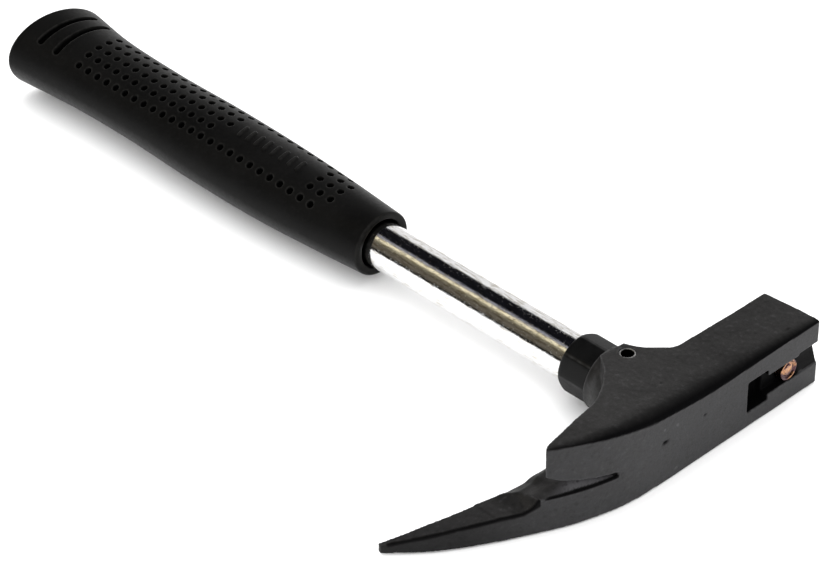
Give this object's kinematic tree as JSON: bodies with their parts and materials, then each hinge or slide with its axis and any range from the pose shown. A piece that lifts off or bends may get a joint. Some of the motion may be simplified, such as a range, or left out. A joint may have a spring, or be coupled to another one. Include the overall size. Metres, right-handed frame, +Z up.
{
  "type": "roofer's latting hammer",
  "caption": "Roofer's latting hammer: forged head with strike face, nail claw, spike and magnetic nail holder, on a chromed tube handle with a rubber grip.",
  "frame": {"origin": "on the crown face of the head, where the axis of the handle meets it, mid thickness of the handle", "axes": "+X towards the strike face, +Y from the crown of the head towards the butt of the grip, +Z up from the cheek that lies on the bench"},
  "size_m": [0.1651, 0.3307, 0.0365],
  "materials": {
    "black_forging": "satin black coat over a forged and ground steel head",
    "chromed_tube": "bright chrome plating on a drawn steel tube",
    "core_wood": "plain hardwood dowel, unfinished",
    "pin_steel": "blackened spring steel",
    "collar_plastic": "black moulded plastic",
    "magnet_plating": "bright copper-coloured plating on a disc magnet",
    "grip_rubber": "matte black moulded rubber"
  },
  "bodies": {
    "root": {"hammer_head": "black_forging", "handle_tube": "chromed_tube", "tube_core": "core_wood", "spring_pin": "pin_steel", "head_collar": "collar_plastic", "nail_magnet": "magnet_plating", "rubber_grip": "grip_rubber"}
  },
  "joints": []
}
